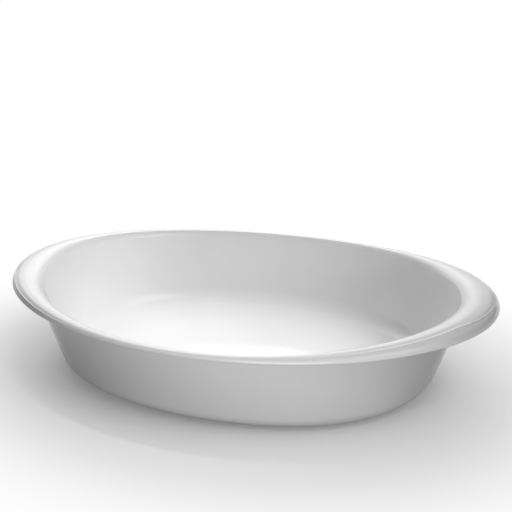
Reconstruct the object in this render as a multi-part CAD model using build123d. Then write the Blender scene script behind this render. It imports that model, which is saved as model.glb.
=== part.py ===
from build123d import *
import os
from math import atan2, cos, hypot, pi, sin, tan

# Overall sizes of the glazed dish, in millimetres
dish_length = 360.0
dish_width = 257.2
end_height = 70.7
side_height = 62.4
glaze = 0.4

# Base: where the line of the outer wall would meet the underside, and the roundings there
base_length = 277.6
base_width = 206.1
heel_round = 18.1
floor_round = 17.5
floor_thickness = 5.3
wall_at_floor = 5.0

# Foot ring that the dish stands on, which stays bare of glaze
foot_height = 1.2
foot_width = 5.0
foot_inset = 16.0
foot_taper = 0.5
foot_round = 0.5

# Rim at the ends of the long axis, where it widens into the handles
handle_reach = 21.2
handle_root_drop = 6.6
handle_root_round = 4.5
handle_grip_inset = 8.5
handle_grip_drop = 6.1
handle_grip_round = 2.4
handle_lip_width = 5.5
handle_lip_drop = 9.0
handle_lip_inner_round = 1.6
handle_lip_outer_height = 1.2
handle_lip_outer_width = 2.6
handle_roll_height = 7.5
handle_roll_width = 14.3
handle_crest_width = 0.6
handle_mouth_width = 8.7
handle_mouth_height = 6.7

# Rim along the sides, where it is a narrow bead
side_reach = 3.2
side_root_drop = 3.1
side_root_round = 0.9
side_grip_inset = 2.2
side_grip_drop = 2.95
side_grip_round = 0.8
side_lip_width = 1.7
side_lip_drop = 3.25
side_lip_inner_round = 0.5
side_lip_outer_height = 1.75
side_lip_outer_width = 1.2
side_roll_height = 1.37
side_roll_width = 3.0
side_crest_width = 0.3
side_mouth_width = 3.4
side_mouth_height = 6.6

# How much fuller than an ellipse the plan is, and how fast the handles blend into the sides
base_fullness_share = 0.016
rim_fullness_share = -0.003
blend_power_share = 2.08

# Largest share of a straight stretch that the roundings at its two ends may take
rounding_share = 0.97

# Fineness: points round each oval, and steps through each rounding of the section
oval_points = 32
round_steps = 4

# How far two points may differ in height and still count as level
level_tolerance = 0.000001


class Corner:
    """A corner of the wall's section, rounded from one length before it to one length after it."""

    def __init__(self, out, up, before=0.0, after=0.0):
        self.out = out
        self.up = up
        self.before = before
        self.after = after

    def heading_to(self, other):
        return atan2(other.up - self.up, other.out - self.out)

    def distance_to(self, other):
        return hypot(other.out - self.out, other.up - self.up)

    def toward(self, other, length):
        heading = self.heading_to(other)
        return self.out + length * cos(heading), self.up + length * sin(heading)


class Rim:
    """Sizes of the rim where the section is taken: through a handle or through a side."""

    def __init__(self, reach, root, grip, lip, lip_outer, roll, crest_width, mouth):
        self.reach = reach
        self.root_drop, self.root_round = root
        self.grip_inset, self.grip_drop, self.grip_round = grip
        self.lip_width, self.lip_drop, self.lip_inner_round = lip
        self.lip_outer_width, self.lip_outer_height = lip_outer
        self.roll_height, self.roll_width = roll
        self.crest_width = crest_width
        self.mouth_width, self.mouth_height = mouth


handle_rim = Rim(
    handle_reach,
    (handle_root_drop, handle_root_round),
    (handle_grip_inset, handle_grip_drop, handle_grip_round),
    (handle_lip_width, handle_lip_drop, handle_lip_inner_round),
    (handle_lip_outer_width, handle_lip_outer_height),
    (handle_roll_height, handle_roll_width),
    handle_crest_width,
    (handle_mouth_width, handle_mouth_height),
)
side_rim = Rim(
    side_reach,
    (side_root_drop, side_root_round),
    (side_grip_inset, side_grip_drop, side_grip_round),
    (side_lip_width, side_lip_drop, side_lip_inner_round),
    (side_lip_outer_width, side_lip_outer_height),
    (side_roll_height, side_roll_width),
    side_crest_width,
    (side_mouth_width, side_mouth_height),
)


def turn_at(before, corner, after):
    """How far the section turns at a corner: left is positive."""
    turn = corner.heading_to(after) - before.heading_to(corner)
    return (turn + pi) % (2 * pi) - pi


def round_by_radius(corners, radii):
    """Round each inner corner that has a radius with an arc of that radius."""
    for before, corner, after, radius in zip(corners, corners[1:], corners[2:], radii):
        if radius:
            corner.before = radius * tan(abs(turn_at(before, corner, after)) / 2)
            corner.after = corner.before
    return corners


def glazed_section(half, base_half, height, rim):
    """Corners of the glazed surface, from the foot up the outside, over the rim, down to the floor."""
    floor_up = foot_height + floor_thickness
    floor_out = base_half - wall_at_floor
    mouth_out = half - rim.roll_width - rim.crest_width - rim.mouth_width
    corners = [
        Corner(base_half - foot_inset, foot_height),
        Corner(base_half, foot_height),
        Corner(half - rim.reach, height - rim.root_drop),
        Corner(half - rim.grip_inset, height - rim.grip_drop),
        Corner(half - rim.lip_width, height - rim.lip_drop),
        Corner(half, height - rim.lip_drop, rim.lip_outer_width, rim.lip_outer_height),
        Corner(half, height, rim.roll_height, rim.roll_width),
        Corner(mouth_out, height, rim.mouth_width, rim.mouth_height),
        Corner(floor_out, floor_up),
        Corner(floor_out - 2 * floor_round, floor_up),
    ]
    return round_by_radius(corners, [
        heel_round, rim.root_round, rim.grip_round, rim.lip_inner_round, 0, 0, 0, floor_round,
    ])


def inset(corners, depth):
    """The same section moved into the material by a depth, square to its surface."""
    moved = []
    for place, corner in enumerate(corners):
        before = corners[max(place - 1, 0)]
        after = corners[min(place + 1, len(corners) - 1)]
        into = corner.heading_to(after) if before is corner else before.heading_to(corner)
        out_of = into if after is corner else corner.heading_to(after)
        turn = (out_of - into + pi) % (2 * pi) - pi
        shorter = depth * tan(turn / 2) if corner.before else 0
        moved.append(Corner(
            corner.out - depth * (sin(into) + sin(out_of)) / (1 + cos(turn)),
            corner.up + depth * (cos(into) + cos(out_of)) / (1 + cos(turn)),
            corner.before - shorter,
            corner.after - shorter,
        ))
    return moved


def body_section(glazed):
    """Corners of the porcelain: the glazed section less the glaze, with the foot ring below."""
    under_glaze = inset(glazed, glaze)
    foot_top = under_glaze[0]
    foot_out = foot_top.out
    foot_in = foot_out - foot_width
    foot = [
        Corner(foot_in - foot_width, foot_top.up),
        Corner(foot_in, foot_top.up),
        Corner(foot_in + foot_taper, 0),
        Corner(foot_out - foot_taper, 0),
        foot_top,
        under_glaze[1],
    ]
    round_by_radius(foot, [foot_round, foot_round, foot_round, foot_round])
    return foot + under_glaze[2:]


def fit_roundings(corners):
    """Shorten the roundings at the ends of a line that is too short for both."""
    for corner, after in zip(corners, corners[1:]):
        room = rounding_share * corner.distance_to(after)
        shrink_share = min(1, room / max(corner.after + after.before, room))
        corner.after *= shrink_share
        after.before *= shrink_share
    return corners


def rounding_at(before, corner, after):
    """Points along the rounding of a corner: an arc, stretched where its two lengths differ."""
    turn = abs(turn_at(before, corner, after))
    start_out, start_up = corner.toward(before, corner.before)
    end_out, end_up = corner.toward(after, corner.after)
    points = []
    for step in range(round_steps + 1):
        angle = turn * step / round_steps
        end_share = (1 - cos(angle)) / (1 - cos(turn))
        start_share = 1 - (sin(angle) - (1 - cos(angle)) / tan(turn)) / tan(turn / 2)
        points.append((
            corner.out + start_share * (start_out - corner.out) + end_share * (end_out - corner.out),
            corner.up + start_share * (start_up - corner.up) + end_share * (end_up - corner.up),
        ))
    return points


def stretches(corners):
    """The rounded section in stretches: a list of points for each line and each rounding."""
    fit_roundings(corners)
    found = []
    end = (corners[0].out, corners[0].up)
    for before, corner, after in zip(corners, corners[1:], corners[2:]):
        rounding = rounding_at(before, corner, after)
        found.append([end, rounding[0]])
        found.append(rounding)
        end = rounding[-1]
    found.append([end, (corners[-1].out, corners[-1].up)])
    return found


def oval(end_point, side_point):
    """A closed oval through a point of the end section and one of the side section."""
    half_length, end_up = end_point
    half_width, side_up = side_point
    rise_share = max(end_up, 0) / end_height
    fullness = base_fullness_share + (rim_fullness_share - base_fullness_share) * rise_share
    points = []
    for step in range(oval_points):
        angle = 2 * pi * step / oval_points
        out = half_length * ((1 + fullness) * cos(angle) - fullness * cos(3 * angle))
        across = half_width * ((1 + fullness) * sin(angle) + fullness * sin(3 * angle))
        handle_share = abs(cos(angle)) ** blend_power_share
        points.append((out, across, side_up + (end_up - side_up) * handle_share))
    knots = [step / oval_points for step in range(oval_points + 1)]
    return Wire([Edge.make_spline(points, periodic=True, parameters=knots)])


def is_level(points):
    """Whether the points of a stretch all lie at one height."""
    ups = [up for out, up in points]
    return max(ups) - min(ups) < level_tolerance


def band(end_stretch, side_stretch):
    """The faces of one stretch all round: a flat ring where it is level, else a loft."""
    rings = [oval(end_point, side_point) for end_point, side_point in zip(end_stretch, side_stretch)]
    if is_level(end_stretch + side_stretch):
        inner, outer = sorted([rings[0], rings[-1]], key=lambda ring: ring.length)
        return [Face(outer, [inner])]
    return Shell.make_loft(rings).faces()


def solid_between(end_corners, side_corners):
    """A solid whose surface runs through the end section and the side section all round."""
    pairs = list(zip(stretches(end_corners), stretches(side_corners)))
    first_end, first_side = pairs[1]
    last_end, last_side = pairs[-2]
    faces = [Face(oval(first_end[0], first_side[0]))]
    for end_stretch, side_stretch in pairs[1:-1]:
        faces.extend(band(end_stretch, side_stretch))
    faces.append(Face(oval(last_end[-1], last_side[-1])))
    return Solid(Shell(faces))


end_section = glazed_section(dish_length / 2, base_length / 2, end_height, handle_rim)
side_section = glazed_section(dish_width / 2, base_width / 2, side_height, side_rim)
glazed_shape = solid_between(end_section, side_section)
porcelain_body = solid_between(body_section(end_section), body_section(side_section))

glaze_solids = (glazed_shape - porcelain_body).solids().sort_by(SortBy.VOLUME)
glaze_coat = glaze_solids[-1]
underside_glaze = glaze_solids[0]

nodes = {
    "porcelain_body": porcelain_body,
    "glaze_coat": glaze_coat,
    "underside_glaze": underside_glaze,
}
os.makedirs("parts", exist_ok=True)
for name, solid in nodes.items():
    export_step(solid, f"parts/{name}.step")
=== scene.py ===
# %% [markdown]
# A white gratin dish, glazed inside and out. The solid model is loaded first, and everything made
# below is put on it. Blender works in metres, and a number times MM is a size in millimetres.

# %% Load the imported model
import bpy
from math import atan2, cos, hypot, pi, radians, sin, tan
from mathutils import Matrix, Vector
from types import SimpleNamespace


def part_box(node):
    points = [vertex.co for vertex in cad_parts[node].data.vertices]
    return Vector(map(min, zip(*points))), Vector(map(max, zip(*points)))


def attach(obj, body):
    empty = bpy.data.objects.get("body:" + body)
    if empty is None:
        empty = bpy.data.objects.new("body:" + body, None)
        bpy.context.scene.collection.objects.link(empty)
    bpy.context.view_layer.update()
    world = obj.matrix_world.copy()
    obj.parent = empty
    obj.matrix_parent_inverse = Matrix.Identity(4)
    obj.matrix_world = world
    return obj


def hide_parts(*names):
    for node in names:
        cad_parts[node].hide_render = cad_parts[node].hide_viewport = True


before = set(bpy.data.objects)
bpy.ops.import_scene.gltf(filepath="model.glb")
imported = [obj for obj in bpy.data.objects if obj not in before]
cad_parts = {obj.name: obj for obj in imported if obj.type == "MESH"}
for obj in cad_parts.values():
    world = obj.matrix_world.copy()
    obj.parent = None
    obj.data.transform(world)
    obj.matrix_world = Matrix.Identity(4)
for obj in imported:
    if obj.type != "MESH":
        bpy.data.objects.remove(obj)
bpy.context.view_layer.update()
scene = bpy.context.scene
MM = 0.001

# %% [markdown]
# The real dish is slip cast or pressed in a mould, so its shape is one cross-section that changes
# slowly from the sides to the ends. It could be sculpted, or pulled out of a subdivided box, but then
# none of its sizes could be set. So the section is worked out twice from the same named sizes, in
# millimetres: once through a handle, at the end of the long axis, and once through the middle of a
# side. An inset is measured from the outermost edge, a drop from the top, and a round is a radius.
# Where a rounding is stretched, a pair says how far it reaches before its corner and after it. The
# mouth, where the rim turns down into the dish, takes two corners, because its lower edge is crisp.

# %% Sizes through a handle and through a side
SIZES = {
    "half": (180.0, 128.6),
    "height": (70.7, 62.4),
    "base_half": (138.8, 103.05),
    "root_inset": (21.2, 3.2),
    "root_drop": (6.6, 3.1),
    "root_round": (4.5, 0.9),
    "grip_inset": (8.5, 2.2),
    "grip_drop": (6.1, 2.95),
    "grip_round": (2.4, 0.8),
    "lip_inset": (5.5, 1.7),
    "lip_drop": (9.0, 3.25),
    "lip_round": (1.6, 0.5),
    "lip_corner": ((2.6, 1.2), (1.2, 1.75)),
    "roll": ((7.5, 14.23), (1.37, 3.0)),
    "mouth_inset": (20.64, 5.56),
    "mouth_corner": ((5.70, 4.74), (2.26, 3.90)),
    "edge_inset": (25.26, 8.61),
    "edge_drop": (4.7, 4.49),
    "edge_corner": ((0.45, 0.45), (0.80, 0.80)),
}
at_handle = SimpleNamespace(**{name: pair[0] for name, pair in SIZES.items()})
at_side = SimpleNamespace(**{name: pair[1] for name, pair in SIZES.items()})
print("high at a handle and at a side:", at_handle.height, at_side.height)

# %% [markdown]
# The foot, the heel and the floor are the same all round. The dish stands on a low ring, so its glazed
# base starts a little above the table, and the inset says where the coat ends against the ring. Wide
# roundings at the heel and at the edge of the floor leave the mould easily and wipe clean.

# %% Sizes that are the same all round
FOOT_HEIGHT, FOOT_INSET = 1.2, 16.0
HEEL_ROUND, FLOOR_ROUND = 18.1, 17.5
FLOOR_THICKNESS, WALL_AT_FLOOR = 5.3, 5.0
print("top of the floor at", FOOT_HEIGHT + FLOOR_THICKNESS, "mm")

# %% [markdown]
# The corners go from the foot up the outside, over the rim, and down the inside to the middle of the
# floor. A radius becomes the length that its arc takes from the lines on both sides of the corner.

# %% Corners of a section: out, up, and the rounding's reach before and after
def heading(first, second):
    return atan2(second[1] - first[1], second[0] - first[0])


def turn_at(before, corner, after):
    return (heading(corner, after) - heading(before, corner) + pi) % (2 * pi) - pi


def corners_of(sizes):
    floor_up = FOOT_HEIGHT + FLOOR_THICKNESS
    sharp = [
        (sizes.base_half - FOOT_INSET, FOOT_HEIGHT, (0.0, 0.0)),
        (sizes.base_half, FOOT_HEIGHT, HEEL_ROUND),
        (sizes.half - sizes.root_inset, sizes.height - sizes.root_drop, sizes.root_round),
        (sizes.half - sizes.grip_inset, sizes.height - sizes.grip_drop, sizes.grip_round),
        (sizes.half - sizes.lip_inset, sizes.height - sizes.lip_drop, sizes.lip_round),
        (sizes.half, sizes.height - sizes.lip_drop, sizes.lip_corner),
        (sizes.half, sizes.height, sizes.roll),
        (sizes.half - sizes.mouth_inset, sizes.height, sizes.mouth_corner),
        (sizes.half - sizes.edge_inset, sizes.height - sizes.edge_drop, sizes.edge_corner),
        (sizes.base_half - WALL_AT_FLOOR, floor_up, FLOOR_ROUND),
        (0.0, floor_up, (0.0, 0.0)),
    ]
    corners = []
    for place, (out, up, reach) in enumerate(sharp):
        if not isinstance(reach, tuple):
            length = reach * tan(abs(turn_at(*sharp[place - 1:place + 2])) / 2)
            reach = (length, length)
        corners.append((out, up, *reach))
    return corners


end_corners = corners_of(at_handle)
side_corners = corners_of(at_side)
print("corners in each section:", len(end_corners), len(side_corners))

# %% [markdown]
# A Bevel modifier could round the corners, but each of them has its own reach on either side. So a
# corner becomes a curve between the points where its rounding starts and ends. A circle's arc,
# stretched to those two lengths, leaves both lines smoothly, which a glossy glaze needs: a kink in the
# surface would show as a break in every reflection.

# %% Round the corners of a section
def rounding(before, corner, after, shares):
    """Points round a corner, an arc stretched to reach as far as the corner says on each side."""
    turn = abs(turn_at(before, corner, after))
    into, out_of = heading(before, corner), heading(corner, after)
    points = []
    for angle in (turn * share for share in shares):
        end_share = (1 - cos(angle)) / (1 - cos(turn))
        start_share = 1 - (sin(angle) - (1 - cos(angle)) / tan(turn)) / tan(turn / 2)
        back, ahead = start_share * corner[2], end_share * corner[3]
        points.append((corner[0] - back * cos(into) + ahead * cos(out_of),
                       corner[1] - back * sin(into) + ahead * sin(out_of)))
    return points


def even(steps):
    return [step / steps for step in range(steps + 1)]


def section(corners, arc_shares, line_steps):
    """The rounded section as rows: out, up, which corner (a half lies before it), share passed."""
    rows = [(corners[0][0], corners[0][1], 0, 0.0)]
    for place in range(1, len(corners)):
        last = place == len(corners) - 1
        arc = [corners[place][:2]] if last else rounding(*corners[place - 1:place + 2], arc_shares[place])
        start = rows[-1]
        for share in even(line_steps[place])[1:]:
            rows.append((start[0] + (arc[0][0] - start[0]) * share,
                         start[1] + (arc[0][1] - start[1]) * share, place - 0.5, share))
        rows.extend((out, up, place, share) for (out, up), share in zip(arc[1:], arc_shares[place][1:]))
    return rows


print("a rounding in four even steps is cut at", even(4))

# %% [markdown]
# Even rows would be simplest, but a tight rounding needs closer rows than a long wall. So two lists
# say how finely each corner and the straight line before it are cut. The roll of the rim, the sixth
# corner after the first, carries the fine line that the mould leaves, so it gets closer rows where
# that line can run.

# %% Rows along the section
ROLL = 6
ARC_STEPS = [1, 12, 6, 5, 4, 8, 16, 12, 6, 14, 1]
LINE_STEPS = [0, 1, 12, 4, 2, 2, 1, 1, 1, 12, 6]
FINE_FROM, FINE_STEP, FINE_ROWS = 0.25, 0.0175, 27

fine_shares = [round(FINE_FROM + step * FINE_STEP, 4) for step in range(FINE_ROWS)]
coarse_shares = [s for s in even(ARC_STEPS[ROLL]) if not fine_shares[0] < s < fine_shares[-1]]
arc_shares = [even(steps) for steps in ARC_STEPS]
arc_shares[ROLL] = sorted(coarse_shares + fine_shares)
glazed_end = section(end_corners, arc_shares, LINE_STEPS)
glazed_side = section(side_corners, arc_shares, LINE_STEPS)
print("rows along the section:", len(glazed_end), len(glazed_side))

# %% [markdown]
# The model for the mould was turned and scraped by hand, which leaves faint rings along the rim. They
# are far too low to feel, but a gloss glaze shows them as soft bands. A bump in the material could
# stand for them, but it would need coordinates that run along the rim, and the rows already do. The
# roll's quarter is an ellipse, so the way square to it follows from its two reaches.

# %% The faint rings along the rim
RING_SHARE, RINGS = 0.0030, 3.5


def square_to_roll(corners, share):
    low, wide = corners[ROLL][2:]
    angle = share * pi / 2
    length = hypot(low * cos(angle), wide * sin(angle))
    return low * cos(angle) / length, wide * sin(angle) / length


def with_rings(rows, corners):
    height = RING_SHARE * sum(corners[ROLL][2:])
    ringed = []
    for out, up, place, share in rows:
        if place == ROLL:
            lift = height * sin(2 * pi * RINGS * share) * sin(pi * share)
            to_out, to_up = square_to_roll(corners, share)
            out, up = out + lift * to_out, up + lift * to_up
        ringed.append((out, up, place, share))
    return ringed


ringed_end = with_rings(glazed_end, end_corners)
ringed_side = with_rings(glazed_side, side_corners)
print("rings at a handle are", round(RING_SHARE * sum(at_handle.roll), 3), "mm high")

# %% [markdown]
# The glaze is a coat of glass 0.4 mm thick, so its inner skin is the same section moved into the clay
# by that much. A Solidify modifier could add it, but worked out from the same corners it lies just
# where the clay of the solid model does. Moving each corner along both of its lines keeps the two
# skins parallel. The inner skin never shows, so it is cut more coarsely.

# %% The section under the glaze
GLAZE = 0.4
CLAY_ARC_STEPS = 4
CLAY_LINE_STEPS = [0, 1, 6, 2, 1, 1, 1, 1, 1, 6, 3]


def moved_in(corners, depth):
    """The same corners moved into the clay by a depth, with their roundings to match."""
    moved = []
    for place, corner in enumerate(corners):
        before = corners[max(place - 1, 0)]
        after = corners[min(place + 1, len(corners) - 1)]
        into = heading(corner, after) if before is corner else heading(before, corner)
        out_of = into if after is corner else heading(corner, after)
        turn = (out_of - into + pi) % (2 * pi) - pi
        shorter = depth * tan(turn / 2) if corner[2] else 0
        moved.append((corner[0] - depth * (sin(into) + sin(out_of)) / (1 + cos(turn)),
                      corner[1] + depth * (cos(into) + cos(out_of)) / (1 + cos(turn)),
                      corner[2] - shorter, corner[3] - shorter))
    return moved


clay_shares = [even(CLAY_ARC_STEPS)] * len(end_corners)
clay_end = section(moved_in(end_corners, GLAZE), clay_shares, CLAY_LINE_STEPS)
clay_side = section(moved_in(side_corners, GLAZE), clay_shares, CLAY_LINE_STEPS)
print("under the glaze the crest is at", round(max(row[1] for row in clay_end), 2), "mm")

# %% [markdown]
# Colours are written as sRGB hex values, the way a colour picker shows them, and Blender's shaders
# want linear light, so one function turns them, by the sRGB standard's own curve. Another small
# function adds a node, sets its properties and inputs, and links what is given as a socket. A Mix node
# has a set of sockets for each kind of data, so its colour sockets are given by their place.

# %% Colour and node helpers
def linear(hex_value):
    channels = [int(hex_value[i:i + 2], 16) / 255 for i in (1, 3, 5)]
    return tuple(c / 12.92 if c <= 0.04045 else ((c + 0.055) / 1.055) ** 2.4 for c in channels) + (1.0,)


def add_node(tree, kind, inputs=(), **settings):
    """Adds one node. An input given as a socket is linked, and any other value is set."""
    made = tree.nodes.new(kind)
    for name, value in settings.items():
        setattr(made, name, value)
    for name, value in dict(inputs).items():
        if isinstance(value, bpy.types.NodeSocket):
            tree.links.new(value, made.inputs[name])
        else:
            made.inputs[name].default_value = value
    return made


COLOUR_A, COLOUR_B, COLOUR_OUT = 6, 7, 2
print("the grey #808080 in linear light:", round(linear("#808080")[0], 3))

# %% [markdown]
# The glaze is clear, glossy feldspathic glass over white porcelain, fired until it ran smooth. A plain
# white shader would look like plastic, with highlights as if ruled. The real glaze gives the eye sharp
# highlights that wander a little, because its surface carries the faint long ripple of the poured coat
# and a finer orange peel. Its white changes by a trace with the ripple, and a few grey specks, each in
# its own cell of a Voronoi pattern, are left from the firing.

# %% Material: white gloss glaze on porcelain
RIPPLE, PEEL, SPECK_SPACING = 28 * MM, 5 * MM, 9 * MM
RIPPLE_HEIGHT, PEEL_HEIGHT = 0.06 * MM, 0.006 * MM
SPECK_CORE, SPECK_EDGE = 0.020, 0.034
SPECKLESS_SHARE = 0.93
WARM_WHITE, COOL_WHITE, SPECK_GREY = linear("#F0F0EF"), linear("#ECECED"), linear("#A9A7A2")


def white_gloss_glaze():
    material = bpy.data.materials.new("white_gloss_glaze_on_porcelain")
    material.use_nodes = True
    tree = material.node_tree
    tree.nodes.clear()
    place = add_node(tree, "ShaderNodeTexCoord").outputs["Object"]
    ripple = add_node(tree, "ShaderNodeTexNoise", {"Vector": place, "Scale": 1 / RIPPLE, "Detail": 2.0})
    peel = add_node(tree, "ShaderNodeTexNoise", {"Vector": place, "Scale": 1 / PEEL, "Detail": 1.0})
    speck_cells = add_node(tree, "ShaderNodeTexVoronoi", {"Vector": place, "Scale": 1 / SPECK_SPACING})
    speck = add_node(tree, "ShaderNodeMapRange", {
        "Value": speck_cells.outputs["Distance"], "From Min": SPECK_CORE, "From Max": SPECK_EDGE,
        "To Min": 1.0, "To Max": 0.0})
    chance = add_node(tree, "ShaderNodeSeparateColor", {"Color": speck_cells.outputs["Color"]})
    chosen = add_node(tree, "ShaderNodeMath", {
        0: chance.outputs["Red"], 1: SPECKLESS_SHARE}, operation="GREATER_THAN")
    speck_share = add_node(tree, "ShaderNodeMath", {
        0: speck.outputs["Result"], 1: chosen.outputs["Value"]}, operation="MULTIPLY")
    tint = add_node(tree, "ShaderNodeMix", {
        0: ripple.outputs["Fac"], COLOUR_A: WARM_WHITE, COLOUR_B: COOL_WHITE}, data_type="RGBA")
    specked = add_node(tree, "ShaderNodeMix", {
        0: speck_share.outputs["Value"], COLOUR_A: tint.outputs[COLOUR_OUT], COLOUR_B: SPECK_GREY},
        data_type="RGBA")
    roughness = add_node(tree, "ShaderNodeMapRange", {
        "Value": peel.outputs["Fac"], "To Min": 0.06, "To Max": 0.11})
    slow_bump = add_node(tree, "ShaderNodeBump", {
        "Height": ripple.outputs["Fac"], "Distance": RIPPLE_HEIGHT, "Strength": 0.6})
    fine_bump = add_node(tree, "ShaderNodeBump", {
        "Height": peel.outputs["Fac"], "Distance": PEEL_HEIGHT, "Strength": 0.5,
        "Normal": slow_bump.outputs["Normal"]})
    shader = add_node(tree, "ShaderNodeBsdfPrincipled", {
        "Base Color": specked.outputs[COLOUR_OUT],
        "Roughness": roughness.outputs["Result"], "IOR": 1.52,
        "Normal": fine_bump.outputs["Normal"]})
    add_node(tree, "ShaderNodeOutputMaterial", {"Surface": shader.outputs["BSDF"]})
    return material


glaze_finish = white_gloss_glaze()
print("made", glaze_finish.name)

# %% [markdown]
# The foot ring is wiped clean before firing, or the dish would stick to the kiln shelf. What shows
# there is bare porcelain: dense, matt and fine as an eggshell, slightly creamier than the glaze, and
# polished grey in places where it has slid on shelves and tables. One noise makes the grain, and a
# slower one says where it is worn, which changes the colour and the roughness together.

# %% Material: bare fired porcelain
GRAIN, WEAR = 0.9 * MM, 22 * MM


def bare_porcelain():
    material = bpy.data.materials.new("bare_porcelain_wiped_and_fired")
    material.use_nodes = True
    tree = material.node_tree
    tree.nodes.clear()
    place = add_node(tree, "ShaderNodeTexCoord").outputs["Object"]
    grain = add_node(tree, "ShaderNodeTexNoise", {"Vector": place, "Scale": 1 / GRAIN, "Detail": 3.0})
    wear = add_node(tree, "ShaderNodeTexNoise", {"Vector": place, "Scale": 1 / WEAR, "Detail": 4.0})
    colour = add_node(tree, "ShaderNodeMix", {
        0: wear.outputs["Fac"], COLOUR_A: linear("#E9E4DA"), COLOUR_B: linear("#D3CFC6")}, data_type="RGBA")
    roughness = add_node(tree, "ShaderNodeMapRange", {
        "Value": wear.outputs["Fac"], "To Min": 0.85, "To Max": 0.6})
    bump = add_node(tree, "ShaderNodeBump", {
        "Height": grain.outputs["Fac"], "Distance": 0.03 * MM, "Strength": 0.8})
    shader = add_node(tree, "ShaderNodeBsdfPrincipled", {
        "Base Color": colour.outputs[COLOUR_OUT],
        "Roughness": roughness.outputs["Result"], "IOR": 1.5, "Normal": bump.outputs["Normal"]})
    add_node(tree, "ShaderNodeOutputMaterial", {"Surface": shader.outputs["BSDF"]})
    return material


bare_finish = bare_porcelain()
body_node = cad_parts["porcelain_body"]
body_node.data.materials.clear()
body_node.data.materials.append(bare_finish)
print("made", bare_finish.name, "for", body_node.name)

# %% [markdown]
# The visible skin follows a rule: walk along the section, and at each point go once round an oval.
# Spinning a section, or sweeping it along a curve, keeps it the same all the way, and here it changes
# from a handle to a side. Geometry Nodes can work out every point for itself. The tree starts from a
# flat grid, with one row for each point of the section and one column for each step round, and moves
# every grid point to its place. The points of the two sections come in as attributes of the modifier's
# own mesh. One tree with named inputs then makes the coat and the glaze under the base alike. Seen
# from above the dish is nearly an ellipse, a little fuller at the base and a trace leaner at the rim.
# A power says how suddenly the sides rise into the handles.

# %% What goes into the tree
BASE_FULLNESS, RIM_FULLNESS = 0.016, -0.003
BLEND_POWER = 2.08
ATTRIBUTES = ("end_out", "end_up", "side_out", "side_up", "seam", "seam_at",
              "roll_share", "roll_out", "roll_up")
INPUTS = (
    ("Section points", "NodeSocketGeometry", None),
    ("Steps round", "NodeSocketInt", 240),
    ("Base fullness", "NodeSocketFloat", BASE_FULLNESS),
    ("Rim fullness", "NodeSocketFloat", RIM_FULLNESS),
    ("Rim height", "NodeSocketFloat", at_handle.height * MM),
    ("Handle blend power", "NodeSocketFloat", BLEND_POWER),
    ("Crowding", "NodeSocketFloat", 0.0),
    ("Crowded at", "NodeSocketFloat", 0.0),
    ("Seam height", "NodeSocketFloat", 0.0),
    ("Seam width", "NodeSocketFloat", 0.35 * MM),
    ("Rim line height", "NodeSocketFloat", 0.0),
    ("Rim line width", "NodeSocketFloat", 0.022),
    ("Step across", "NodeSocketFloat", 0.0),
    ("Finish", "NodeSocketMaterial", None),
)
print("attributes:", len(ATTRIBUTES), "inputs:", len(INPUTS))

# %% [markdown]
# The sums that place a point could be written as calls inside calls, but in a table each result has a
# name. Each line is one Math node: that name, the operation, and what goes in, which is a number, an
# input of the tree, an attribute or the result of a line above. The first table finds a point's row
# and column on the grid, and how far round it lies. A fine seam needs close columns, so a sine wave
# can crowd the columns at one place and at the place half a turn away.

# %% Sums: how far round a point lies
TURN_SUMS = [
    ("columns", "ADD", "Steps round", 1.0),
    ("index and a half", "ADD", "index", 0.5),
    ("rows passed", "DIVIDE", "index and a half", "columns"),
    ("row", "FLOOR", "rows passed"),
    ("first in the row", "MULTIPLY", "row", "columns"),
    ("column", "SUBTRACT", "index", "first in the row"),
    ("share round", "DIVIDE", "column", "Steps round"),
    ("even turn", "MULTIPLY", "share round", 2 * pi),
    ("past the crowd", "SUBTRACT", "even turn", "Crowded at"),
    ("twice past", "MULTIPLY", "past the crowd", 2.0),
    ("wave", "SINE", "twice past"),
    ("half the crowding", "MULTIPLY", "Crowding", 0.5),
    ("shift", "MULTIPLY", "half the crowding", "wave"),
    ("turn", "SUBTRACT", "even turn", "shift"),
]
print("sums for the turn:", len(TURN_SUMS))

# %% [markdown]
# The second table puts the point on its oval. A share of a wave three times as quick makes an ellipse
# fuller or leaner, and the height changes from the side's to the handle's with a power of the cosine.

# %% Sums: a point of the oval
OVAL_SUMS = [
    ("above the table", "MAXIMUM", "end_up", 0.0),
    ("rise", "DIVIDE", "above the table", "Rim height"),
    ("fullness gained", "SUBTRACT", "Rim fullness", "Base fullness"),
    ("fullness", "MULTIPLY_ADD", "fullness gained", "rise", "Base fullness"),
    ("widened", "ADD", "fullness", 1.0),
    ("cosine", "COSINE", "turn"),
    ("sine", "SINE", "turn"),
    ("three turns", "MULTIPLY", "turn", 3.0),
    ("quick cosine", "COSINE", "three turns"),
    ("quick sine", "SINE", "three turns"),
    ("ellipse along", "MULTIPLY", "widened", "cosine"),
    ("taken along", "MULTIPLY", "fullness", "quick cosine"),
    ("share along", "SUBTRACT", "ellipse along", "taken along"),
    ("x", "MULTIPLY", "end_out", "share along"),
    ("ellipse across", "MULTIPLY", "widened", "sine"),
    ("added across", "MULTIPLY", "fullness", "quick sine"),
    ("share across", "ADD", "ellipse across", "added across"),
    ("y", "MULTIPLY", "side_out", "share across"),
    ("toward an end", "ABSOLUTE", "cosine"),
    ("handle share", "POWER", "toward an end", "Handle blend power"),
    ("climb to the handle", "SUBTRACT", "end_up", "side_up"),
    ("z", "MULTIPLY_ADD", "climb to the handle", "handle share", "side_up"),
]
print("sums for the oval:", len(OVAL_SUMS))

# %% [markdown]
# The mould came apart in pieces, and where they met, a fine ridge is left under the glaze. One ridge,
# the seam in the names here, runs down the outer wall near each end. A thin strip laid on the wall
# would have edges, and this ridge grows out of it, so its profile is a bell curve of the distance
# across the dish.

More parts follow.
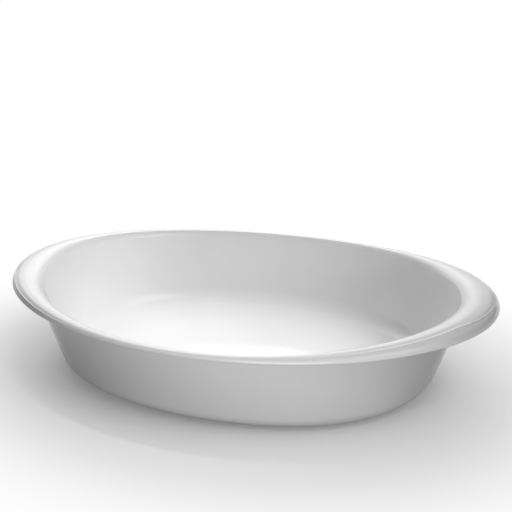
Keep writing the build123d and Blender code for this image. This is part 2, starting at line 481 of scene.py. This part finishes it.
# %% Sums: the ridge down the wall
SEAM_SUMS = [
    ("which end", "SIGN", "x"),
    ("seam across", "MULTIPLY", "seam_at", "which end"),
    ("from the seam", "SUBTRACT", "y", "seam across"),
    ("seam widths away", "DIVIDE", "from the seam", "Seam width"),
    ("seam widths squared", "MULTIPLY", "seam widths away", "seam widths away"),
    ("seam fall", "MULTIPLY", "seam widths squared", -1.0),
    ("seam bell", "EXPONENT", "seam fall"),
    ("seam here", "MULTIPLY", "seam", "Seam height"),
    ("ridge", "MULTIPLY", "seam here", "seam bell"),
]
print("sums for the wall's ridge:", len(SEAM_SUMS))

# %% [markdown]
# Another ridge, the line, runs along the roll of the rim at each handle. Where it lies and how wide it
# is are shares of the way from the lip to the crest. At the right it climbs away from the tip and
# takes a small step near it, where two parts of the mould were a hair out of line. It fades toward the
# sides. To raise it squarely to the surface, the way out is split into along and across as on an oval
# that is longer than wide.

# %% Sums: the ridge along the rim
LINE_AT_LEFT_SHARE, LINE_AT_RIGHT_SHARE = 0.36, 0.45
LINE_CLIMB_SHARE, LINE_CLIMB_LIMIT_SHARE = 1.4, 0.23
STEP_SHARE, STEP_REACH = -0.075, 2.8 * MM
LINE_GONE, LINE_FULL = 0.35, 0.65
LENGTH_OVER_WIDTH = 1.4
LINE_SUMS = [
    ("sine squared", "POWER", "sine", 2.0),
    ("climbing", "MULTIPLY", "sine squared", LINE_CLIMB_SHARE),
    ("climb", "MINIMUM", "climbing", LINE_CLIMB_LIMIT_SHARE),
    ("climb and step", "ADD", "climb", "step"),
    ("line at the right", "ADD", "climb and step", LINE_AT_RIGHT_SHARE),
    ("is at the right", "GREATER_THAN", "x", 0.0),
    ("more at the right", "SUBTRACT", "line at the right", LINE_AT_LEFT_SHARE),
    ("line at", "MULTIPLY_ADD", "more at the right", "is at the right", LINE_AT_LEFT_SHARE),
    ("from the line", "SUBTRACT", "roll_share", "line at"),
    ("line widths away", "DIVIDE", "from the line", "Rim line width"),
    ("line widths squared", "MULTIPLY", "line widths away", "line widths away"),
    ("line fall", "MULTIPLY", "line widths squared", -1.0),
    ("line bell", "EXPONENT", "line fall"),
    ("line here", "MULTIPLY", "Rim line height", "near an end"),
    ("line", "MULTIPLY", "line here", "line bell"),
    ("cosine squared", "POWER", "cosine", 2.0),
    ("way across", "MULTIPLY", "sine", LENGTH_OVER_WIDTH),
    ("way across squared", "POWER", "way across", 2.0),
    ("way squared", "ADD", "cosine squared", "way across squared"),
    ("way length", "SQRT", "way squared"),
    ("line outward", "MULTIPLY", "line", "roll_out"),
    ("line out", "DIVIDE", "line outward", "way length"),
    ("x with the seam", "MULTIPLY_ADD", "which end", "ridge", "x"),
    ("raised x", "MULTIPLY_ADD", "line out", "cosine", "x with the seam"),
    ("raised y", "MULTIPLY_ADD", "line out", "way across", "y"),
    ("raised z", "MULTIPLY_ADD", "line", "roll_up", "z"),
]
print("sums for the rim's ridge:", len(LINE_SUMS))

# %% [markdown]
# Now the tables become nodes, in a loop. A term that names a result, an input or an attribute is
# looked up, and a number is taken as it is. Each attribute is read at the row that the point is in.
# Two Map Range nodes give the smooth steps that the rim's ridge needs.

# %% Geometry Nodes: from the tables to the place of a point
def work_out(tree, kind, sums, values):
    """Adds a node of the kind for each sum, and keeps its result under the sum's name."""
    for name, operation, *terms in sums:
        given = {place: values.get(term, term) for place, term in enumerate(terms)}
        values[name] = add_node(tree, kind, given, operation=operation).outputs[0]


def placed_point(tree, values):
    """Adds what works out where a point of the grid goes, and gives that place."""
    values["index"] = add_node(tree, "GeometryNodeInputIndex").outputs[0]
    work_out(tree, "ShaderNodeMath", TURN_SUMS, values)
    for name in ATTRIBUTES:
        read = add_node(tree, "GeometryNodeInputNamedAttribute", {"Name": name}, data_type="FLOAT")
        values[name] = add_node(tree, "GeometryNodeSampleIndex", {
            "Geometry": values["Section points"], "Value": read.outputs[0], "Index": values["row"]},
            data_type="FLOAT", domain="POINT").outputs[0]
    work_out(tree, "ShaderNodeMath", OVAL_SUMS + SEAM_SUMS, values)
    after_step = add_node(tree, "ShaderNodeMath", {
        0: values["Step across"], 1: STEP_REACH}, operation="ADD")
    values["step"] = add_node(tree, "ShaderNodeMapRange", {
        "Value": values["y"], "From Min": values["Step across"], "From Max": after_step.outputs[0],
        "To Min": 0.0, "To Max": STEP_SHARE}, interpolation_type="SMOOTHSTEP").outputs[0]
    values["near an end"] = add_node(tree, "ShaderNodeMapRange", {
        "Value": values["toward an end"], "From Min": LINE_GONE, "From Max": LINE_FULL},
        interpolation_type="SMOOTHSTEP").outputs[0]
    work_out(tree, "ShaderNodeMath", LINE_SUMS, values)
    return add_node(tree, "ShaderNodeCombineXYZ", {
        "X": values["raised x"], "Y": values["raised y"], "Z": values["raised z"]}).outputs[0]


print("sums in all:", len(TURN_SUMS + OVAL_SUMS + SEAM_SUMS + LINE_SUMS))

# %% [markdown]
# The tree makes a flat grid as large as the section and the steps ask for, and sets its points to
# where the sums put them. The last column lies on the first, and the rows at the middle of the floor
# shrink to points, so what falls together is merged. The skin is then shaded smooth and gets its
# glaze.

# %% Geometry Nodes: a skin that follows two sections round an oval
TOGETHER = 0.002 * MM


def oval_skin_tree():
    tree = bpy.data.node_groups.new("section_round_an_oval", "GeometryNodeTree")
    for name, kind, value in INPUTS:
        socket = tree.interface.new_socket(name, in_out="INPUT", socket_type=kind)
        if value is not None:
            socket.default_value = value
    tree.interface.new_socket("Skin", in_out="OUTPUT", socket_type="NodeSocketGeometry")
    given = add_node(tree, "NodeGroupInput").outputs
    values = {name: given[name] for name, _, _ in INPUTS}
    point = placed_point(tree, values)
    size = add_node(tree, "GeometryNodeAttributeDomainSize", {"Geometry": given["Section points"]})
    grid = add_node(tree, "GeometryNodeMeshGrid", {
        "Vertices X": size.outputs["Point Count"], "Vertices Y": values["columns"]})
    placed = add_node(tree, "GeometryNodeSetPosition", {
        "Geometry": grid.outputs["Mesh"], "Position": point})
    joined = add_node(tree, "GeometryNodeMergeByDistance", {
        "Geometry": placed.outputs[0], "Distance": TOGETHER})
    smooth = add_node(tree, "GeometryNodeSetShadeSmooth", {"Geometry": joined.outputs[0]})
    real = add_node(tree, "GeometryNodeRealizeInstances", {"Geometry": smooth.outputs[0]})
    dressed = add_node(tree, "GeometryNodeSetMaterial", {
        "Geometry": real.outputs[0], "Material": given["Finish"]})
    add_node(tree, "NodeGroupOutput", {"Skin": dressed.outputs[0]})
    return tree


skin_tree = oval_skin_tree()
print("nodes in the tree:", len(skin_tree.nodes))

# %% [markdown]
# The tree's result is turned into a plain mesh, so nothing depends on the modifier later. The mesh's
# volume is then worked out: it is negative if the faces point inwards, and then they are turned over.
# The modifier's inputs are set by each socket's identifier, which is how Blender keeps them.

# %% Make one piece with the tree
def signed_volume(mesh):
    mesh.calc_loop_triangles()
    places = [v.co for v in mesh.vertices]
    return sum(places[a].dot(places[b].cross(places[c])) for a, b, c in
               (t.vertices for t in mesh.loop_triangles)) / 6


def section_mesh(name, end_rows, side_rows, marks):
    """A mesh with one point for each row, which carries the two sections and the marks."""
    mesh = bpy.data.meshes.new(name)
    mesh.from_pydata([(out * MM, 0, up * MM) for out, up, *_ in end_rows], [], [])
    carried = dict.fromkeys(ATTRIBUTES, [0.0] * len(end_rows))
    for label, rows in (("end", end_rows), ("side", side_rows)):
        carried[label + "_out"] = [row[0] * MM for row in rows]
        carried[label + "_up"] = [row[1] * MM for row in rows]
    carried.update(marks)
    for attribute, values in carried.items():
        mesh.attributes.new(attribute, "FLOAT", "POINT").data.foreach_set("value", values)
    return mesh


def make_skin(name, end_rows, side_rows, marks, finish, inputs):
    source = section_mesh(name + "_section", end_rows, side_rows, marks)
    maker = bpy.data.objects.new(name + "_maker", source)
    scene.collection.objects.link(maker)
    modifier = maker.modifiers.new("skin", "NODES")
    modifier.node_group = skin_tree
    keys = {item.name: item.identifier for item in skin_tree.interface.items_tree}
    for label, value in {**inputs, "Finish": finish}.items():
        modifier[keys[label]] = value
    evaluated = maker.evaluated_get(bpy.context.evaluated_depsgraph_get())
    mesh = bpy.data.meshes.new_from_object(evaluated)
    mesh.name = name
    bpy.data.objects.remove(maker)
    if signed_volume(mesh) < 0:
        mesh.flip_normals()
    piece = bpy.data.objects.new(name, mesh)
    scene.collection.objects.link(piece)
    print(name, "faces:", len(mesh.polygons), "volume in cubic mm:", round(signed_volume(mesh) / MM ** 3))
    return piece


# %% [markdown]
# Marks on the rows say where the two ridges of the mould run. The wall's ridge starts halfway up the
# heel and ends under the rim. At the right it lies in front of the long axis and leans toward it on
# the way up, and at the left it is half a turn away. The rim's ridge needs the share passed along the
# roll and the way square to it. A share far below nought keeps it off all the other rows.

# %% Where the mould's ridges run on the coat
HEEL, ROOT = 1, 2
SEAM_AT_TABLE, SEAM_LEAN_SHARE = -46.6, 0.30
NOT_ON_ROLL = -9.0


def seam_share(place, share):
    if place == HEEL:
        return max(0.0, 2.0 * share - 1.0)
    return 1.0 if HEEL < place <= ROOT else 0.0


def ridge_marks(rows, visible_rows):
    """The marks of each row. The rows after the visible ones lie under the glaze."""
    on_roll = [row[2] == ROLL for row in rows]
    ways = [square_to_roll(end_corners, row[3]) if on else (0.0, 0.0) for row, on in zip(rows, on_roll)]
    hidden_rows = len(rows) - visible_rows
    return {
        "seam": [seam_share(row[2], row[3]) for row in rows[:visible_rows]] + [0.0] * hidden_rows,
        "seam_at": [(SEAM_AT_TABLE + SEAM_LEAN_SHARE * row[1]) * MM for row in rows],
        "roll_share": [row[3] if on and i < visible_rows else NOT_ON_ROLL
                       for i, (row, on) in enumerate(zip(rows, on_roll))],
        "roll_out": [way[0] for way in ways],
        "roll_up": [way[1] for way in ways],
    }


wall_rows = [row for row in ringed_end if seam_share(row[2], row[3]) > 0]
print("rows with the wall's ridge:", len(wall_rows))

# %% [markdown]
# The coat is one closed skin: from the middle of the floor up the inside, over the rim and down the
# outside to the foot ring, where the wiping sponge stopped, and then back along the clay. Its many
# steps round are crowded in front of the right tip, and so also half a turn away, because the fine
# ridges need them there.

# %% The glaze coat
coat_end = ringed_end[::-1] + clay_end
coat_side = ringed_side[::-1] + clay_side
coat_marks = ridge_marks(coat_end, len(ringed_end))
glaze_coat = make_skin("glaze_coat_skin", coat_end, coat_side, coat_marks, glaze_finish, {
    "Steps round": 384, "Crowding": 0.86, "Crowded at": -0.33,
    "Seam height": 0.55 * MM, "Seam width": 0.38 * MM,
    "Rim line height": 0.26 * MM, "Step across": -8.0 * MM})
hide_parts("glaze_coat")
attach(glaze_coat, "root")

# %% [markdown]
# Inside the foot ring the base is glazed too. That is a separate sheet of glaze, because the bare ring
# lies between it and the coat. It could be a scaled cylinder, but the coat's tree makes its oval as
# well, from two short sections. Its size is read from the solid model.

# %% The glaze under the base
DISC_STEPS = 10
under_low_corner, under_high_corner = [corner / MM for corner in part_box("underside_glaze")]


def disc_section(out):
    low, high = under_low_corner.z, under_high_corner.z
    inward = [out * (1 - step / DISC_STEPS) for step in range(DISC_STEPS + 1)]
    return [(x, low) for x in inward[::-1]] + [(x, high) for x in inward]


under_end = disc_section(under_high_corner.x)
under_side = disc_section(under_high_corner.y)
underside = make_skin("underside_glaze_skin", under_end, under_side, {}, glaze_finish, {"Steps round": 160})
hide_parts("underside_glaze")
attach(underside, "root")

# %% [markdown]
# The dish stands on a wide sheet of pale paper. Near the dish the paper is lit like any surface, so it
# keeps the soft shadow. Further out, past an oval like the dish's own, it turns to plain white for the
# rays that look at it, from the camera, by a reflection or through something, and it sends only a
# little light back up at the dish. More light on the paper would whiten it too, but the dish as well.

# %% Material: matt white paper
PAPER_SEEN, PAPER_LIT = 0.90, 0.15
SHADOW_KEPT_TO, WHITE_FROM = 0.08, 0.31
OVAL_ACROSS = 1.3


def matt_white_paper():
    material = bpy.data.materials.new("matt_white_paper")
    material.use_nodes = True
    tree = material.node_tree
    tree.nodes.clear()
    path = add_node(tree, "ShaderNodeLightPath").outputs
    seen = add_node(tree, "ShaderNodeMath", {
        0: path["Is Camera Ray"], 1: path["Is Glossy Ray"]}, operation="MAXIMUM")
    looking = add_node(tree, "ShaderNodeMath", {
        0: seen.outputs[0], 1: path["Is Transmission Ray"]}, operation="MAXIMUM").outputs[0]
    tone = add_node(tree, "ShaderNodeMapRange", {
        "Value": looking, "To Min": PAPER_LIT, "To Max": PAPER_SEEN})
    paper = add_node(tree, "ShaderNodeBsdfDiffuse", {"Color": tone.outputs[0]})
    oval = add_node(tree, "ShaderNodeMapping", {
        "Vector": add_node(tree, "ShaderNodeTexCoord").outputs["Object"], "Scale": (1.0, OVAL_ACROSS, 0.0)})
    away = add_node(tree, "ShaderNodeVectorMath", {0: oval.outputs[0]}, operation="LENGTH")
    whiter = add_node(tree, "ShaderNodeMapRange", {
        "Value": away.outputs["Value"], "From Min": SHADOW_KEPT_TO, "From Max": WHITE_FROM},
        interpolation_type="SMOOTHSTEP")
    glow = add_node(tree, "ShaderNodeEmission", {"Strength": looking})
    both = add_node(tree, "ShaderNodeMixShader", {
        0: whiter.outputs[0], 1: paper.outputs[0], 2: glow.outputs[0]})
    add_node(tree, "ShaderNodeOutputMaterial", {"Surface": both.outputs[0]})
    return material


paper_finish = matt_white_paper()
print("made", paper_finish.name)

# %% [markdown]
# The sheet itself is a single square face at the height of the table, so large that its edge is lost
# in the white behind the dish. It is set dressing and isn't part of the dish.

# %% Floor
FLOOR_REACH = 9.0
SQUARE = ((-1, -1), (1, -1), (1, 1), (-1, 1))
floor_mesh = bpy.data.meshes.new("pale_floor")
floor_mesh.from_pydata([(x * FLOOR_REACH, y * FLOOR_REACH, 0) for x, y in SQUARE], [], [(0, 1, 2, 3)])
floor_mesh.materials.append(paper_finish)
floor = bpy.data.objects.new("pale_floor", floor_mesh)
scene.collection.objects.link(floor)
print("floor", floor.name)

# %% [markdown]
# The photograph was taken from the front right, about 18 degrees above the table, from close by, so
# the near side looks larger. The camera looks at a point well above the middle of the dish and a
# little to its right, and keeps level. Its place could be set by eye, but it was fitted to the dish's
# outline. The lens follows from how many pixels a millimetre takes at the dish.

# %% Camera
IMAGE_PIXELS = 512
SENSOR = 36.0
AZIMUTH, ELEVATION = radians(19.0), radians(18.1)
DISTANCE = 569.2 * MM
PIXELS_PER_MM = 1.332
DISH_MIDDLE = 30 * MM
ASIDE_PIXELS, ABOVE_PIXELS = 11.09, 65.55
back = Vector((sin(AZIMUTH) * cos(ELEVATION), -cos(AZIMUTH) * cos(ELEVATION), sin(ELEVATION)))
right = Vector((cos(AZIMUTH), sin(AZIMUTH), 0))
up = back.cross(right)
aside, above = [pixels / PIXELS_PER_MM * MM for pixels in (ASIDE_PIXELS, ABOVE_PIXELS)]
camera_data = bpy.data.cameras.new("camera")
camera_data.sensor_width = SENSOR
camera_data.lens = PIXELS_PER_MM * DISTANCE / MM / IMAGE_PIXELS * SENSOR
camera_data.clip_start = 10 * MM
camera = bpy.data.objects.new("camera", camera_data)
place = Vector((0, 0, DISH_MIDDLE)) + DISTANCE * back + aside * right + above * up
camera.matrix_world = Matrix.Translation(place) @ Matrix((right, up, back)).transposed().to_4x4()
scene.collection.objects.link(camera)
scene.camera = camera
print("lens in mm:", round(camera_data.lens, 1), "camera at", [round(v, 3) for v in camera.location])

# %% [markdown]
# A white glossy dish shows the whole room in its surface, so it is lit as in a light tent. White cloth
# hangs all round and glows in soft patches, brightest behind the dish and high to its right. Area
# lamps could hang there instead, but their edges would show in the glaze, and a patch falls off
# smoothly to all sides. A line gives a patch's azimuth, counted from the right by way of the back, its
# elevation and its strength.

# %% World: a light tent of soft patches
TENT = [
    (90, 8, 0.9), (120, 8, 0.9), (150, 8, 1.2),
    (75, 32, 0.6), (105, 32, 3.0), (135, 32, 3.0), (345, 32, 1.1),
    (45, 56, 0.6), (345, 56, 2.2),
]
SHARPNESS = 24.0


def toward(azimuth, elevation):
    turn, rise = radians(azimuth), radians(elevation)
    return Vector((cos(turn) * cos(rise), sin(turn) * cos(rise), sin(rise)))


world = bpy.data.worlds.new("light_tent")
scene.world = world
world.use_nodes = True
world_tree = world.node_tree
world_tree.nodes.clear()
gaze = add_node(world_tree, "ShaderNodeVectorMath", {
    0: add_node(world_tree, "ShaderNodeTexCoord").outputs["Generated"]}, operation="NORMALIZE")
glow_so_far = 0.0
for azimuth, elevation, strength in TENT:
    facing = add_node(world_tree, "ShaderNodeVectorMath", {
        0: gaze.outputs["Vector"], 1: toward(azimuth, elevation)}, operation="DOT_PRODUCT")
    ahead = add_node(world_tree, "ShaderNodeMath", {
        0: facing.outputs["Value"], 1: 0.0}, operation="MAXIMUM")
    patch = add_node(world_tree, "ShaderNodeMath", {
        0: ahead.outputs[0], 1: SHARPNESS}, operation="POWER")
    glow_so_far = add_node(world_tree, "ShaderNodeMath", {
        0: patch.outputs[0], 1: strength, 2: glow_so_far}, operation="MULTIPLY_ADD").outputs[0]
print("patches in the tent:", len(TENT))

# %% [markdown]
# To the camera, and through anything clear, the tent is plain white. A reflection sees the same white
# low down, where the paper ends, and the glowing patches above it.

# %% World: white behind the dish
WHITE_UP_TO = 0.10
path = add_node(world_tree, "ShaderNodeLightPath").outputs
height = add_node(world_tree, "ShaderNodeSeparateXYZ", {0: gaze.outputs["Vector"]}).outputs["Z"]
low_down = add_node(world_tree, "ShaderNodeMapRange", {
    "Value": height, "From Min": 0.0, "From Max": WHITE_UP_TO, "To Min": 1.0, "To Max": 0.0},
    interpolation_type="SMOOTHSTEP")
mirrored = add_node(world_tree, "ShaderNodeMath", {
    0: low_down.outputs[0], 1: path["Is Glossy Ray"]}, operation="MULTIPLY")
seen = add_node(world_tree, "ShaderNodeMath", {
    0: path["Is Camera Ray"], 1: path["Is Transmission Ray"]}, operation="MAXIMUM")
white = add_node(world_tree, "ShaderNodeMath", {
    0: seen.outputs[0], 1: mirrored.outputs[0]}, operation="MAXIMUM")
unseen = add_node(world_tree, "ShaderNodeMath", {0: 1.0, 1: seen.outputs[0]}, operation="SUBTRACT")
patches = add_node(world_tree, "ShaderNodeMath", {
    0: glow_so_far, 1: unseen.outputs[0]}, operation="MULTIPLY")
strength = add_node(world_tree, "ShaderNodeMath", {
    0: patches.outputs[0], 1: white.outputs[0]}, operation="MAXIMUM")
tent = add_node(world_tree, "ShaderNodeBackground", {
    "Color": linear("#FFFFFF"), "Strength": strength.outputs[0]})
add_node(world_tree, "ShaderNodeOutputWorld", {"Surface": tent.outputs[0]})
print("world", world.name)

# %% [markdown]
# Two kinds of lamp help the tent. A low soft box close in front lights the outer wall, and because it
# is close, the wall darkens quickly towards both ends. Three soft spots reach into the dish: one from
# above onto the floor, one from the front onto the far wall, and one from the right onto the left
# wall. A spot stays out of reflections, where it would show as a hard dot. Its line in the table gives
# its azimuth and elevation, what it aims at, how wide its beam is in degrees, and its power in watts.

# %% Lamps
SPOTS = [
    ("spot_from_above", 0, 90, (-10 * MM, 0, 20 * MM), 17, 15.8),
    ("spot_on_the_far_wall", 290, 50, (30 * MM, 50 * MM, 30 * MM), 15, 7.8),
    ("spot_on_the_left_wall", 0, 45, (-110 * MM, 20 * MM, 35 * MM), 10, 17.0),
]
SPOT_DISTANCE, SPOT_SOFTNESS = 1000 * MM, 50 * MM


def hang(name, kind, azimuth, elevation, distance, aim, watts, **settings):
    data = bpy.data.lights.new(name, kind)
    data.energy = watts
    for key, value in settings.items():
        setattr(data, key, value)
    lamp = bpy.data.objects.new(name, data)
    lamp.location = Vector(aim) + distance * toward(azimuth, elevation)
    lamp.rotation_euler = (lamp.location - Vector(aim)).to_track_quat("Z", "Y").to_euler()
    lamp.visible_camera = False
    scene.collection.objects.link(lamp)
    return lamp


hang("low_front_box", "AREA", azimuth=288, elevation=6, distance=420 * MM, aim=(0, 0, 30 * MM),
     watts=0.59, shape="RECTANGLE", size=250 * MM, size_y=80 * MM)
for name, azimuth, elevation, aim, width, watts in SPOTS:
    spot = hang(name, "SPOT", azimuth, elevation, SPOT_DISTANCE, aim, watts,
                spot_size=radians(width), spot_blend=0.7, shadow_soft_size=SPOT_SOFTNESS)
    spot.visible_glossy = False
scene.view_settings.view_transform = "Standard"
